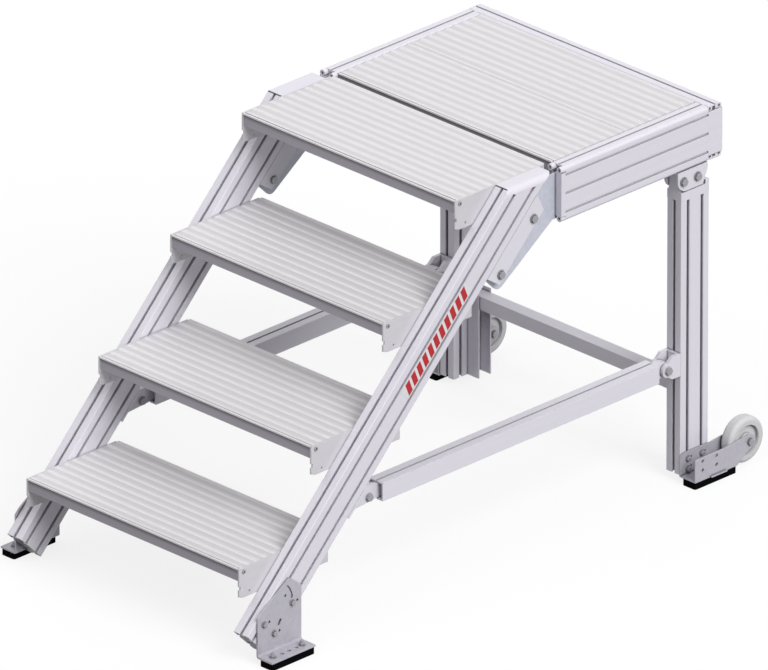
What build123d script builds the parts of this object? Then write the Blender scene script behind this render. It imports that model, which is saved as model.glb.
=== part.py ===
"""Mobile platform steps of aluminium profile, with tilt-and-roll wheels at the rear.

Millimetres. X runs across, Y in the climbing direction, Z up. While it is built, Y is 0 at the nosing
of the first step. At the end everything is shifted so that the origin is on the floor, at the middle of
the footprint. Paired pieces are made on the right (+X) and mirrored.
"""

from build123d import *

import os
from math import atan2, cos, degrees, sin, tan

# Stair
STEP_COUNT = 4
RISE = 204.0
GOING = 204.0
FIRST_STEP_HEIGHT = 201.0
TREAD_LENGTH = 600.0
TREAD_DEPTH = 257.0
TREAD_HEIGHT = 28.0
CHEEK_SHEET = 4.0
CHEEK_DEPTH = 251.0
CHEEK_HEIGHT = 66.0
CHEEK_NOTCH_TOP = 39.0
CHEEK_NOTCH_HEIGHT = 9.0
CHEEK_NOTCH_DEPTH = 4.0
CHEEK_CORNER_HEIGHT = 4.0
CHEEK_CORNER_LENGTH = 12.0
CHEEK_HOLE_RADIUS = 2.5
CHEEK_HOLE_BACK = 29.0
CHEEK_HOLE_DROP = 56.0
NOSING_TO_STRINGER = 81.3

# Planks of the treads and the deck
PLANK_SKIN = 5.0
PLANK_WALL = 3.0
PLANK_POCKET_PITCH = 60.0
NOSING_DEPTH = 30.0
NOSING_RECESS = 2.0
LIP_HEIGHT = 4.0
LIP_WIDTH = 3.5
LIP_GROOVE = 3.0
RIDGE_WIDTH = 6.0
RIB_PITCH = 24.4
RIB_WIDTH = 12.0
RIB_HEIGHT = 1.2
RIB_SLOPE = 3.0
FIRST_RIB = 33.5
LAST_RIB_MARGIN = 20.0

# Slotted profiles
PROFILE_WIDTH = 40.0
PROFILE_DEPTH = 80.0
SLOT_SPACING = 40.0
SLOT_OPENING = 8.0
SLOT_CHAMBER = 13.0
SLOT_LIP = 3.0
SLOT_DEPTH = 9.0
PROFILE_ROUND = 1.5
CORE_BORE_RADIUS = 3.5
CORE_WIDTH = 18.0
CORE_DEPTH = 14.0

# Stringers and their heads
STRINGER_FLOOR_GAP = 13.0
CAP_HEIGHT = 15.0
CAP_ROUNDS = {"right": 14.0, "left": 2.0}
CAP_OVERHANG = 10.0
CHANNEL_SHEET = 4.0
HEAD_CHANNEL_DEPTH = 41.0
HEAD_CHANNEL_LENGTH = 200.0
HEAD_CHANNEL_TOP_DROP = 35.0
HEAD_CHANNEL_LOW_SLANT = 8.0
HEAD_CHANNEL_TOP_SLANT = 14.0
HEAD_BOLT_PITCH = 132.0
HEAD_BOLT_SETBACK = 28.0
HEAD_BOLT_END = 26.0
WEB_SHEET = 5.0
WEB_TAIL = 60.0
WEB_TIP_OFFSET = 67.0
WEB_TIP_ROUND = 16.0
WEB_SHOULDER = 20.0

# Bolts that are modelled as solids
BOLT_RADIUS = 5.0
BOLT_HEAD_RADIUS = 8.5
BOLT_HEAD_HEIGHT = 6.0
BOLT_CLEARANCE = 0.25

# Platform
PLATFORM_LENGTH = 450.0
PLATFORM_GAP = 17.5
PLATFORM_HEIGHT = 120.0
PLATFORM_WALL = 4.0
PLATFORM_GROOVE = 5.0
PLATFORM_GROOVE_DEPTH = 2.2
PLATFORM_GROOVE_COUNT = 3
PLATFORM_GROOVE_FIRST = 17.0
PLATFORM_GROOVE_PITCH = 41.0
SCREW_BOSS_RADIUS = 7.0
SCREW_BORE_RADIUS = 3.5
LEDGE_WIDTH = 12.0
DECK_HEIGHT = 30.0
DECK_PLANKS = 2
DECK_CLEARANCE = 0.3
FRONT_BEAM_HEIGHT = 80.0
END_PLATE_SHEET = 3.0
END_PLATE_HEIGHT = 96.0
PLATFORM_STUB = 12.0

# Rear legs and the bracket under the platform
LEG_SETBACK = 37.5
LEG_BOTTOM = 18.0
LEG_HEAD_HEIGHT = 20.0
LEG_BRACKET_DROP = 45.0
LEG_BRACKET_LEAD = 9.0
LEG_BRACKET_TAIL = 4.0
LEG_BRACKET_TAPER = 18.0
LEG_BRACKET_SHOULDER = 12.0
LEG_BRACKET_ROUND = 24.0
LEG_BOLT_DROP = 23.0
LEG_BOLT_FRONT = 6.5
LEG_HEAD_LIP = 10.0
LEG_HEAD_LIP_HEIGHT = 9.0
LEG_BOLT_PITCH = 40.0
TONGUE_CLEARANCE = 0.3
HEAD_GAP = 2.0

# Side braces and their joints
BRACE_SECTION = 40.0
BRACE_WALL = 3.5
BRACE_BOTTOM = 243.0
BRACE_FRONT_GAP = 76.5
BRACE_REAR_GAP = 61.0
BRACE_TONGUE = 10.0
BRACE_RECESS = 15.0
BRACE_PLUG = 30.0
JOINT_BASE = 6.0
JOINT_BASE_LENGTH = 64.0
JOINT_CHEEK = 8.0
JOINT_CHEEK_LENGTH = 23.0
JOINT_CHEEK_ABOVE = 7.0
JOINT_CHEEK_BELOW = 3.0
JOINT_EYE_RADIUS = 15.0
JOINT_EYE_GAP = 1.0
REAR_PIVOT_SETBACK = 36.0
FRONT_PIVOT_SETBACK = 51.5
FRONT_PIVOT_DROP = 7.0

# Tie between the legs
TIE_SECTION = 30.0
TIE_TOP = 202.0
TIE_CLEARANCE = 0.3
TIE_CHANNEL_SHEET = 3.0
TIE_CHANNEL_DEPTH = 32.0
TIE_CHANNEL_ABOVE = 8.0
TIE_SETBACK = 7.0

# Feet and pads
PAD_HEIGHT = 15.0
PAD_LENGTH = 120.0
PAD_WIDTH = 37.0
PAD_ROUND = 5.0
FOOT_SHEET = 4.0
FOOT_SETBACK = 25.2
FOOT_LENGTH = 123.0
FOOT_FLANGE = 44.5
FOOT_FRONT_HEIGHT = 103.0
FOOT_SHOULDER = 11.0
FOOT_BEND = 5.0
FOOT_BACK_HEIGHT = 138.0
FOOT_PEAK_HEIGHT = 165.0
FOOT_PEAK_SETBACK = 35.0
FOOT_HOLE_RADIUS = 4.5
FOOT_HOLE_PITCH = 20.5
FOOT_HOLE_SHIFT = 5.0
FOOT_HOLE_OFFSET = 26.0
FOOT_SPARE_RADIUS = 3.0
FOOT_SLOT_WIDTH = 6.5
FOOT_SLOT_RADIUS = 54.0
FOOT_SLOT_START = 10.5
FOOT_SLOT_SWEEP = 30.5
FOOT_SLOT_RISE = 4.0
FOOT_SHORT_SLOT_LENGTH = 15.0
FOOT_SHORT_SLOT_BACK = 15.5
FOOT_SHORT_SLOT_RISE = 20.0
FOOT_SHORT_SLOT_TILT = 61.0

# Bolts of the front foot: distance along the stringer from its foot, and the slot they sit in
FOOT_BOLTS = {"low_front": (41.0, "front"), "low_back": (41.0, "back"), "high_back": (113.0, "back")}
SLOT_SIDES = {"front": -1, "back": 1}

# Spare holes of the front foot: the bolt beside them, distance behind and above that bolt
FOOT_SPARE_HOLES = [
    ("low_front", 14.5, 1.5),
    ("low_back", 15.0, 1.5),
    ("high_back", 14.5, 1.5),
    ("high_back", -19.5, 22.0),
]

# Wheels and their brackets
BRACKET_SHEET = 2.5
BRACKET_WIDTH = 45.0
BRACKET_HEIGHT = 51.0
BRACKET_OVERLAP = 2.0
BRACKET_ARM_RADIUS = 16.0
BRACKET_ROUND = 8.0
BRACKET_HOLE_RADIUS = 4.0
BRACKET_HOLE_PITCH = 20.0
BRACKET_HOLE_HEIGHT = 47.5
BRACKET_SPARE_RADIUS = 2.5
BRACKET_SPARE_BACK = 9.0
BRACKET_SPARE_HEIGHT = 42.0
BRACKET_ARM_START = 84.0
BRACKET_TAB_START = 43.0
BRACKET_TAB_LENGTH = 46.0
BRACKET_TAB = 4.5
WHEEL_RADIUS = 50.0
WHEEL_WIDTH = 30.0
WHEEL_ROUND = 9.0
WHEEL_RECESS_RADIUS = 33.0
WHEEL_RECESS_DEPTH = 8.0
WHEEL_HUB_RADIUS = 14.0
WHEEL_FLOOR_GAP = 7.0
WHEEL_SETBACK = 38.3
WHEEL_SIDE_CLEARANCE = 5.0
AXLE_RADIUS = 6.0
AXLE_CLEARANCE = 0.05
AXLE_HEAD_RADIUS = 7.5
AXLE_COLLAR_RADIUS = 10.0
AXLE_COLLAR_CLEARANCE = 0.5

# How far a cut runs past what it cuts
CUT_OVERRUN = 1.0

# Planes and places worked out from those sizes
SLOPE = atan2(RISE, GOING)
PLATFORM_TOP = FIRST_STEP_HEIGHT + (STEP_COUNT - 1) * RISE
SIDE_INNER = TREAD_LENGTH / 2 + CHEEK_SHEET
SIDE_OUTER = SIDE_INNER + PROFILE_WIDTH
SIDE_MIDDLE = (SIDE_INNER + SIDE_OUTER) / 2
CAP_BOTTOM = PLATFORM_TOP - CAP_HEIGHT
STRINGER_MIDDLE_OFFSET = NOSING_TO_STRINGER + PROFILE_DEPTH / 2
STRINGER_BACK_OFFSET = NOSING_TO_STRINGER + PROFILE_DEPTH
STRINGER_FOOT = (STRINGER_FLOOR_GAP - FIRST_STEP_HEIGHT + STRINGER_BACK_OFFSET * cos(SLOPE)) / sin(SLOPE)
PLATFORM_FRONT = (STEP_COUNT - 1) * GOING + TREAD_DEPTH + PLATFORM_GAP
PLATFORM_BACK = PLATFORM_FRONT + PLATFORM_LENGTH
PLATFORM_BOTTOM = PLATFORM_TOP - PLATFORM_HEIGHT
REAR_PROFILE_FRONT = PLATFORM_BACK - PROFILE_WIDTH
LEG_BACK = PLATFORM_BACK - LEG_SETBACK
LEG_FRONT = LEG_BACK - PROFILE_DEPTH
LEG_TOP = PLATFORM_BOTTOM - LEG_BRACKET_DROP - HEAD_GAP - LEG_HEAD_HEIGHT
LEG_BOLT_HEIGHT = PLATFORM_BOTTOM - LEG_BOLT_DROP
BRACE_TOP = BRACE_BOTTOM + BRACE_SECTION
BRACE_MIDDLE_HEIGHT = (BRACE_BOTTOM + BRACE_TOP) / 2
BRACE_BACK = LEG_FRONT - BRACE_REAR_GAP
FOOT_OUTER = SIDE_OUTER + FOOT_FLANGE
BRACKET_FRONT = LEG_FRONT - BRACKET_OVERLAP
BRACKET_BACK = BRACKET_FRONT + PAD_LENGTH
BRACKET_INNER = SIDE_OUTER
BRACKET_OUTER = BRACKET_INNER + BRACKET_WIDTH
BRACKET_TOP = PAD_HEIGHT + BRACKET_HEIGHT
WHEEL_MIDDLE = (BRACKET_INNER + BRACKET_OUTER) / 2
WHEEL_GAP = BRACKET_OUTER - BRACKET_INNER - 2 * BRACKET_SHEET
HUB_WIDTH = WHEEL_GAP - 2 * WHEEL_SIDE_CLEARANCE
AXLE_Y = BRACKET_BACK + WHEEL_SETBACK
AXLE_Z = WHEEL_FLOOR_GAP + WHEEL_RADIUS


def on_slope(along, offset):
    """Point (y, z) at a distance along the nosing line and an offset behind it."""
    y = along * cos(SLOPE) + offset * sin(SLOPE)
    z = FIRST_STEP_HEIGHT + along * sin(SLOPE) - offset * cos(SLOPE)
    return y, z


def along_at_height(height, offset):
    """Distance along the nosing line at which a line behind it reaches a height."""
    return (height - FIRST_STEP_HEIGHT + offset * cos(SLOPE)) / sin(SLOPE)


FOOT_POINT = on_slope(STRINGER_FOOT, NOSING_TO_STRINGER)
FOOT_FRONT = FOOT_POINT[0] + FOOT_SETBACK
FOOT_BACK = FOOT_FRONT + FOOT_LENGTH
Y_MIDDLE = (FOOT_POINT[0] + AXLE_Y + WHEEL_RADIUS) / 2


def block(x, y, z):
    """Box between a pair of limits on each axis."""
    middle = Pos((x[0] + x[1]) / 2, (y[0] + y[1]) / 2, (z[0] + z[1]) / 2)
    return middle * Box(x[1] - x[0], y[1] - y[0], z[1] - z[0])


def prism(points, x_from, x_to):
    """Outline of (y, z) points between two x planes."""
    outline = make_face(Polyline(*points, close=True))
    return extrude(Plane.YZ.offset(x_from) * outline, x_to - x_from, dir=(1, 0, 0))


def cross_rod(radius, y, z, x_from, x_to):
    """Round bar along X."""
    return Pos((x_from + x_to) / 2, y, z) * Rot(0, 90, 0) * Cylinder(radius, x_to - x_from)


def cross_hexagon(radius, y, z, x_from, x_to):
    """Hexagonal bar along X, by its corner radius."""
    outline = Pos(y, z) * RegularPolygon(radius, 6)
    return extrude(Plane.YZ.offset(x_from) * outline, x_to - x_from, dir=(1, 0, 0))


def edge_slot():
    """T-slot outline that is open at y = 0 and runs down from there."""
    top = (Align.CENTER, Align.MAX)
    opening = Rectangle(SLOT_OPENING, SLOT_DEPTH, align=top)
    return opening + Pos(0, -SLOT_LIP) * Rectangle(SLOT_CHAMBER, SLOT_DEPTH - SLOT_LIP, align=top)


def slotted_section():
    """Profile section: two slots on each wide face (x limits) and one on each narrow face (y limits)."""
    section = RectangleRounded(PROFILE_WIDTH, PROFILE_DEPTH, PROFILE_ROUND)
    section -= Rectangle(CORE_WIDTH, CORE_DEPTH)
    for side in (0, 180):
        section -= Rot(0, 0, side) * Pos(0, PROFILE_DEPTH / 2) * edge_slot()
        section -= Rot(0, 0, side) * Pos(0, SLOT_SPACING / 2) * Circle(CORE_BORE_RADIUS)
        for offset in (-SLOT_SPACING / 2, SLOT_SPACING / 2):
            section -= Rot(0, 0, side) * Pos(PROFILE_WIDTH / 2, offset) * Rot(0, 0, -90) * edge_slot()
    return section


def plank_outline(depth, height):
    """Plank section as (y, z) points: overhanging lip, groove, ridge and ribs, from the front edge back."""
    ridge_start = LIP_WIDTH + LIP_GROOVE
    ridge_end = ridge_start + RIDGE_WIDTH
    points = [(NOSING_RECESS, -height), (NOSING_RECESS, -LIP_HEIGHT), (0, -LIP_HEIGHT), (0, 0),
              (LIP_WIDTH, 0), (LIP_WIDTH, -RIB_HEIGHT), (ridge_start, -RIB_HEIGHT), (ridge_start, 0),
              (ridge_end - RIB_SLOPE, 0), (ridge_end, -RIB_HEIGHT)]
    rib_count = int((depth - FIRST_RIB - LAST_RIB_MARGIN) / RIB_PITCH) + 1
    for index in range(rib_count):
        low = FIRST_RIB + index * RIB_PITCH - RIB_WIDTH / 2
        high = low + RIB_WIDTH
        points += [(low, -RIB_HEIGHT), (low + RIB_SLOPE, 0), (high - RIB_SLOPE, 0), (high, -RIB_HEIGHT)]
    back_ridge = depth - RIDGE_WIDTH
    return points + [(back_ridge, -RIB_HEIGHT), (back_ridge + RIB_SLOPE, 0), (depth, 0), (depth, -height)]


def plank(depth, height, length):
    """Ribbed plank, back and down from its top front edge, with a box nosing and open pockets."""
    front_top = (Align.MIN, Align.MAX)
    section = make_face(Polyline(*plank_outline(depth, height), close=True))
    box_front = NOSING_RECESS + PLANK_WALL
    box = Rectangle(NOSING_DEPTH - box_front, height - PLANK_SKIN - PLANK_WALL, align=front_top)
    section -= Pos(box_front, -PLANK_SKIN) * box
    pocket_start = NOSING_DEPTH + PLANK_WALL
    pocket_count = round((depth - pocket_start) / PLANK_POCKET_PITCH)
    pocket_pitch = (depth - pocket_start) / pocket_count
    pocket = Rectangle(pocket_pitch - PLANK_WALL, height - PLANK_SKIN, align=front_top)
    for index in range(pocket_count):
        section -= Pos(pocket_start + index * pocket_pitch, -PLANK_SKIN) * pocket
    return extrude(Plane.YZ.offset(-length / 2) * section, length, dir=(1, 0, 0))


def step(index):
    """Tread of one step."""
    place = Pos(0, index * GOING, FIRST_STEP_HEIGHT + index * RISE)
    return place * plank(TREAD_DEPTH, TREAD_HEIGHT, TREAD_LENGTH)


def step_cheeks(index):
    """Pair of side plates that carry a tread, each with a notch and a hole near its front."""
    front = index * GOING
    top = FIRST_STEP_HEIGHT + index * RISE
    notch_top, notch_low = CHEEK_NOTCH_TOP, CHEEK_NOTCH_TOP + CHEEK_NOTCH_HEIGHT
    outline = [(0, 0), (CHEEK_DEPTH, 0), (CHEEK_DEPTH, CHEEK_HEIGHT), (CHEEK_CORNER_LENGTH, CHEEK_HEIGHT),
               (0, CHEEK_HEIGHT - CHEEK_CORNER_HEIGHT), (0, notch_low), (CHEEK_NOTCH_DEPTH, notch_low),
               (CHEEK_NOTCH_DEPTH, notch_top), (0, notch_top)]
    points = [(front + back, top - drop) for back, drop in outline]
    right = prism(points, TREAD_LENGTH / 2, SIDE_INNER)
    hole = (front + CHEEK_HOLE_BACK, top - CHEEK_HOLE_DROP)
    right -= cross_rod(CHEEK_HOLE_RADIUS, *hole, TREAD_LENGTH / 2, SIDE_INNER)
    return Compound([right.solid(), mirror(right, Plane.YZ).solid()])


def stringer(cap_round):
    """Slanted profile, square at its foot, cut level at its head and cut away for the cap."""
    reach = along_at_height(PLATFORM_TOP, STRINGER_BACK_OFFSET) - STRINGER_FOOT
    lower_end = Pos(SIDE_MIDDLE, *on_slope(STRINGER_FOOT, STRINGER_MIDDLE_OFFSET))
    profile = lower_end * Rot(degrees(SLOPE) - 90, 0, 0) * extrude(slotted_section(), reach)
    return (profile - cap_body()) & head_envelope(cap_round)


def cap_body():
    """Block on the stringer's head: its front is square to the stringer, its back overhangs."""
    front_high = on_slope(along_at_height(PLATFORM_TOP, NOSING_TO_STRINGER), NOSING_TO_STRINGER)
    front_low = (front_high[0] + CAP_HEIGHT * tan(SLOPE), CAP_BOTTOM)
    back_low = on_slope(along_at_height(CAP_BOTTOM, STRINGER_BACK_OFFSET), STRINGER_BACK_OFFSET)
    back_high = (back_low[0] + CAP_HEIGHT / tan(SLOPE) + CAP_OVERHANG, PLATFORM_TOP)
    return prism([front_low, front_high, back_high, back_low], SIDE_INNER, SIDE_OUTER)


def head_envelope(cap_round):
    """Everything below the platform's top and in front of it, with a round along the outer top edge."""
    y = (FOOT_POINT[0] - CUT_OVERRUN, PLATFORM_FRONT - PLATFORM_STUB)
    body = block((SIDE_INNER - CUT_OVERRUN, SIDE_OUTER), y, (0, PLATFORM_TOP))
    outer_top = body.edges().filter_by(Axis.Y).group_by(Axis.Z)[-1].sort_by(Axis.X)[-1]
    return fillet(outer_top, cap_round)


def stringer_cap(cap_round):
    return cap_body() & head_envelope(cap_round)


HEAD_TOP_ALONG = along_at_height(PLATFORM_TOP - HEAD_CHANNEL_TOP_DROP, STRINGER_BACK_OFFSET)
HEAD_LOW_ALONG = HEAD_TOP_ALONG - HEAD_CHANNEL_LENGTH
HEAD_BOLT_ALONG = HEAD_LOW_ALONG + HEAD_BOLT_END
HEAD_BOLT_POINTS = [
    on_slope(HEAD_BOLT_ALONG + step_along, STRINGER_BACK_OFFSET + HEAD_BOLT_SETBACK)
    for step_along in (0, HEAD_BOLT_PITCH)
]


def head_channel():
    """U-channel on the stringer's back face, open to the back, with the head bolts' holes."""
    near, far = STRINGER_BACK_OFFSET, STRINGER_BACK_OFFSET + HEAD_CHANNEL_DEPTH
    base = STRINGER_BACK_OFFSET + CHANNEL_SHEET
    outline = [on_slope(a, d) for a, d in (
        (HEAD_LOW_ALONG, near), (HEAD_TOP_ALONG, near), (HEAD_TOP_ALONG - HEAD_CHANNEL_TOP_SLANT, far),
        (HEAD_LOW_ALONG + HEAD_CHANNEL_LOW_SLANT, far))]
    inside = [on_slope(a, d) for a, d in (
        (HEAD_LOW_ALONG - CUT_OVERRUN, base), (HEAD_TOP_ALONG + CUT_OVERRUN, base),
        (HEAD_TOP_ALONG + CUT_OVERRUN, far + CUT_OVERRUN), (HEAD_LOW_ALONG - CUT_OVERRUN, far + CUT_OVERRUN))]
    channel = prism(outline, SIDE_INNER, SIDE_OUTER)
    channel -= prism(inside, SIDE_INNER + CHANNEL_SHEET, SIDE_OUTER - CHANNEL_SHEET)
    for y, z in HEAD_BOLT_POINTS:
        channel -= cross_rod(BOLT_RADIUS + BOLT_CLEARANCE, y, z, SIDE_INNER, SIDE_OUTER)
    return channel


def web_plate():
    """Plate from the head channel into the platform's side profile."""
    base = STRINGER_BACK_OFFSET + CHANNEL_SHEET
    bottom = PLATFORM_BOTTOM + PLATFORM_WALL + TONGUE_CLEARANCE
    top = CAP_BOTTOM - TONGUE_CLEARANCE
    tail = PLATFORM_FRONT + WEB_TAIL
    low_front = on_slope(HEAD_LOW_ALONG, base)
    low_tip = on_slope(HEAD_LOW_ALONG, STRINGER_BACK_OFFSET + WEB_TIP_OFFSET)
    top_front = on_slope(along_at_height(top, base), base)
    shoulder = (PLATFORM_FRONT - WEB_SHOULDER, bottom)
    outline = [low_front, top_front, (tail, top), (tail, bottom), shoulder, low_tip]
    plate = prism(outline, SIDE_MIDDLE - WEB_SHEET / 2, SIDE_MIDDLE + WEB_SHEET / 2)
    plate = fillet(plate.edges().filter_by(Axis.X).sort_by(Axis.Z)[0], WEB_TIP_ROUND)
    for y, z in HEAD_BOLT_POINTS:
        plate -= cross_rod(BOLT_RADIUS + BOLT_CLEARANCE, y, z, SIDE_INNER, SIDE_OUTER)
    return plate


def through_bolt(y, z, x_from, x_to):
    """Bolt along X with a hexagon head and a hexagon nut outside the two planes."""
    shank = cross_rod(BOLT_RADIUS, y, z, x_from - BOLT_HEAD_HEIGHT, x_to + BOLT_HEAD_HEIGHT)
    head = cross_hexagon(BOLT_HEAD_RADIUS, y, z, x_to, x_to + BOLT_HEAD_HEIGHT)
    nut = cross_hexagon(BOLT_HEAD_RADIUS, y, z, x_from - BOLT_HEAD_HEIGHT, x_from)
    return shank + head + nut


def head_bolts():
    return Compound([through_bolt(y, z, SIDE_INNER, SIDE_OUTER).solid() for y, z in HEAD_BOLT_POINTS])


WEB_WALL = PROFILE_WIDTH / 2 + WEB_SHEET / 2


def screw_points():
    """Points (x, y) of the four screw tubes in the platform profile's section."""
    return [
        (x, -y)
        for x in (SCREW_BOSS_RADIUS, PROFILE_WIDTH - SCREW_BOSS_RADIUS)
        for y in (SCREW_BOSS_RADIUS, PLATFORM_HEIGHT - SCREW_BOSS_RADIUS)
    ]


def platform_section():
    """Hollow profile section: x from 0 inside to its width outside, y down from 0 at the top."""
    inner_top = (Align.MIN, Align.MAX)
    section = Rectangle(PROFILE_WIDTH, PLATFORM_HEIGHT, align=inner_top)
    hollow_width = PROFILE_WIDTH - 2 * PLATFORM_WALL
    hollow_height = PLATFORM_HEIGHT - 2 * PLATFORM_WALL
    hollow = Pos(PLATFORM_WALL, -PLATFORM_WALL) * Rectangle(hollow_width, hollow_height, align=inner_top)
    wall_height = PLATFORM_HEIGHT - PLATFORM_WALL
    wall = Pos(WEB_WALL, -PLATFORM_WALL / 2) * Rectangle(PLATFORM_WALL, wall_height, align=inner_top)
    section = fillet(section.vertices(), SCREW_BOSS_RADIUS)
    section = section - hollow + wall
    for x, y in screw_points():
        section += Pos(x, y) * Circle(SCREW_BOSS_RADIUS)
    for x, y in screw_points():
        section -= Pos(x, y) * Circle(SCREW_BORE_RADIUS)
    groove = Rectangle(PLATFORM_GROOVE_DEPTH, PLATFORM_GROOVE, align=(Align.MAX, Align.CENTER))
    for index in range(PLATFORM_GROOVE_COUNT):
        section -= Pos(PROFILE_WIDTH, -PLATFORM_GROOVE_FIRST - index * PLATFORM_GROOVE_PITCH) * groove
    top_groove = Rectangle(PLATFORM_GROOVE, PLATFORM_GROOVE_DEPTH, align=(Align.CENTER, Align.MAX))
    return section - Pos(PROFILE_WIDTH / 2, 0) * top_groove


def platform_ledge():
    """Ledge on the inside of a platform profile, below the deck."""
    return Pos(0, -DECK_HEIGHT) * Rectangle(LEDGE_WIDTH, PLATFORM_WALL, align=(Align.MAX, Align.MAX))


def platform_stub():
    """Section of what runs past the side profile's front: its screw tubes and a plate beside the web."""
    plate_width = PROFILE_WIDTH - WEB_WALL
    section = Rectangle(plate_width, END_PLATE_HEIGHT, align=(Align.MIN, Align.CENTER))
    section = Pos(WEB_WALL, -PLATFORM_HEIGHT / 2) * section
    for x, y in screw_points():
        section += Pos(x, y) * Circle(SCREW_BOSS_RADIUS)
    for x, y in screw_points():
        section -= Pos(x, y) * Circle(SCREW_BORE_RADIUS)
    return section


def platform_side():
    """Side profile of the platform, with a ledge for the deck."""
    section = platform_section() + platform_ledge()
    plane = Plane(origin=(SIDE_INNER, REAR_PROFILE_FRONT, PLATFORM_TOP), x_dir=(1, 0, 0), z_dir=(0, -1, 0))
    length = REAR_PROFILE_FRONT - PLATFORM_FRONT
    stub = extrude(plane.offset(length) * platform_stub(), PLATFORM_STUB, dir=(0, -1, 0))
    return extrude(plane * section, length, dir=(0, -1, 0)) + stub


def platform_rear():
    half = SIDE_OUTER - END_PLATE_SHEET
    ledge_half = SIDE_INNER - LEDGE_WIDTH - DECK_CLEARANCE
    middle = Plane(origin=(0, REAR_PROFILE_FRONT, PLATFORM_TOP), x_dir=(0, 1, 0), z_dir=(1, 0, 0))
    profile = extrude(middle * platform_section(), half, dir=(1, 0, 0), both=True)
    return profile + extrude(middle * platform_ledge(), ledge_half, dir=(1, 0, 0), both=True)


def platform_end_plates():
    middle = (PLATFORM_TOP + PLATFORM_BOTTOM) / 2
    z = (middle - END_PLATE_HEIGHT / 2, middle + END_PLATE_HEIGHT / 2)
    right = block((SIDE_OUTER - END_PLATE_SHEET, SIDE_OUTER), (REAR_PROFILE_FRONT, PLATFORM_BACK), z)
    return Compound([right.solid(), mirror(right, Plane.YZ).solid()])


def platform_front_beam():
    """Hollow beam under the deck's front edge, between the side profiles and below their ledges."""
    top = PLATFORM_TOP - DECK_HEIGHT
    y = (PLATFORM_FRONT, PLATFORM_FRONT + PROFILE_WIDTH)
    ledge_clear = SIDE_INNER - LEDGE_WIDTH - DECK_CLEARANCE
    low_top = top - PLATFORM_WALL - DECK_CLEARANCE
    z = (top - FRONT_BEAM_HEIGHT, low_top)
    beam = block((-SIDE_INNER, SIDE_INNER), y, z)
    beam += block((-ledge_clear, ledge_clear), y, (low_top, top))
    inside_y = (y[0] + PLATFORM_WALL, y[1] - PLATFORM_WALL)
    inside_z = (z[0] + PLATFORM_WALL, low_top - PLATFORM_WALL)
    return beam - block((-SIDE_INNER, SIDE_INNER), inside_y, inside_z)


def deck_plank(index):
    """One of the deck's planks, between the side profiles and on their ledges."""
    length = 2 * (SIDE_INNER - DECK_CLEARANCE)
    pitch = (REAR_PROFILE_FRONT - PLATFORM_FRONT) / DECK_PLANKS
    place = Pos(0, PLATFORM_FRONT + index * pitch, PLATFORM_TOP)
    return place * plank(pitch - DECK_CLEARANCE, DECK_HEIGHT, length)


def rear_leg():
    foot = Pos(SIDE_MIDDLE, (LEG_FRONT + LEG_BACK) / 2, LEG_BOTTOM)
    return foot * extrude(slotted_section(), LEG_TOP - LEG_BOTTOM)


LEG_BOLT_POINTS = [(LEG_FRONT + LEG_BOLT_FRONT + pitch, LEG_BOLT_HEIGHT) for pitch in (0, LEG_BOLT_PITCH)]


def leg_head():
    """Head on the leg: a tongue between the bracket's plates and a low lip at the back."""
    top = LEG_TOP + LEG_HEAD_HEIGHT
    head = block((SIDE_INNER, SIDE_OUTER), (LEG_FRONT, LEG_BACK), (LEG_TOP, top))
    lip_y = (LEG_BACK - LEG_HEAD_LIP, LEG_BACK)
    head += block((SIDE_INNER, SIDE_OUTER), lip_y, (top, top + LEG_HEAD_LIP_HEIGHT))
    inset = CHANNEL_SHEET + TONGUE_CLEARANCE
    tongue_top = PLATFORM_BOTTOM - CHANNEL_SHEET - TONGUE_CLEARANCE
    tongue_y = (LEG_FRONT, LEG_BACK - LEG_HEAD_LIP - HEAD_GAP)
    head += block((SIDE_INNER + inset, SIDE_OUTER - inset), tongue_y, (top, tongue_top))
    for y, z in LEG_BOLT_POINTS:
        head -= cross_rod(BOLT_RADIUS + BOLT_CLEARANCE, y, z, SIDE_INNER, SIDE_OUTER)
    return head


def leg_bracket():
    """Bracket under the platform: a base plate and two tapered plates with the leg bolts' holes."""
    low = PLATFORM_BOTTOM - LEG_BRACKET_DROP
    front, back = LEG_FRONT - LEG_BRACKET_LEAD, LEG_BACK - LEG_BRACKET_TAIL
    shoulder = PLATFORM_BOTTOM - LEG_BRACKET_SHOULDER
    outline = [(front, PLATFORM_BOTTOM), (back, PLATFORM_BOTTOM), (back, shoulder),
               (LEG_BACK - LEG_BRACKET_TAPER, low), (front, low)]
    plates = prism(outline, SIDE_INNER, SIDE_OUTER)
    front_low = plates.edges().filter_by(Axis.X).group_by(Axis.Z)[0].sort_by(Axis.Y)[0]
    plates = fillet(front_low, LEG_BRACKET_ROUND)
    inside_z = (low - CUT_OVERRUN, PLATFORM_BOTTOM - CHANNEL_SHEET)
    inside_y = (front - CUT_OVERRUN, back + CUT_OVERRUN)
    plates -= block((SIDE_INNER + CHANNEL_SHEET, SIDE_OUTER - CHANNEL_SHEET), inside_y, inside_z)
    for y, z in LEG_BOLT_POINTS:
        plates -= cross_rod(BOLT_RADIUS + BOLT_CLEARANCE, y, z, SIDE_INNER, SIDE_OUTER)
    return plates


def leg_bolts():
    return Compound([through_bolt(y, z, SIDE_INNER, SIDE_OUTER).solid() for y, z in LEG_BOLT_POINTS])


FRONT_JOINT_ALONG = along_at_height(BRACE_MIDDLE_HEIGHT, STRINGER_BACK_OFFSET)
STRINGER_BACK_AT_BRACE = on_slope(FRONT_JOINT_ALONG, STRINGER_BACK_OFFSET)[0]
BRACE_FRONT = STRINGER_BACK_AT_BRACE + BRACE_FRONT_GAP


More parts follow.
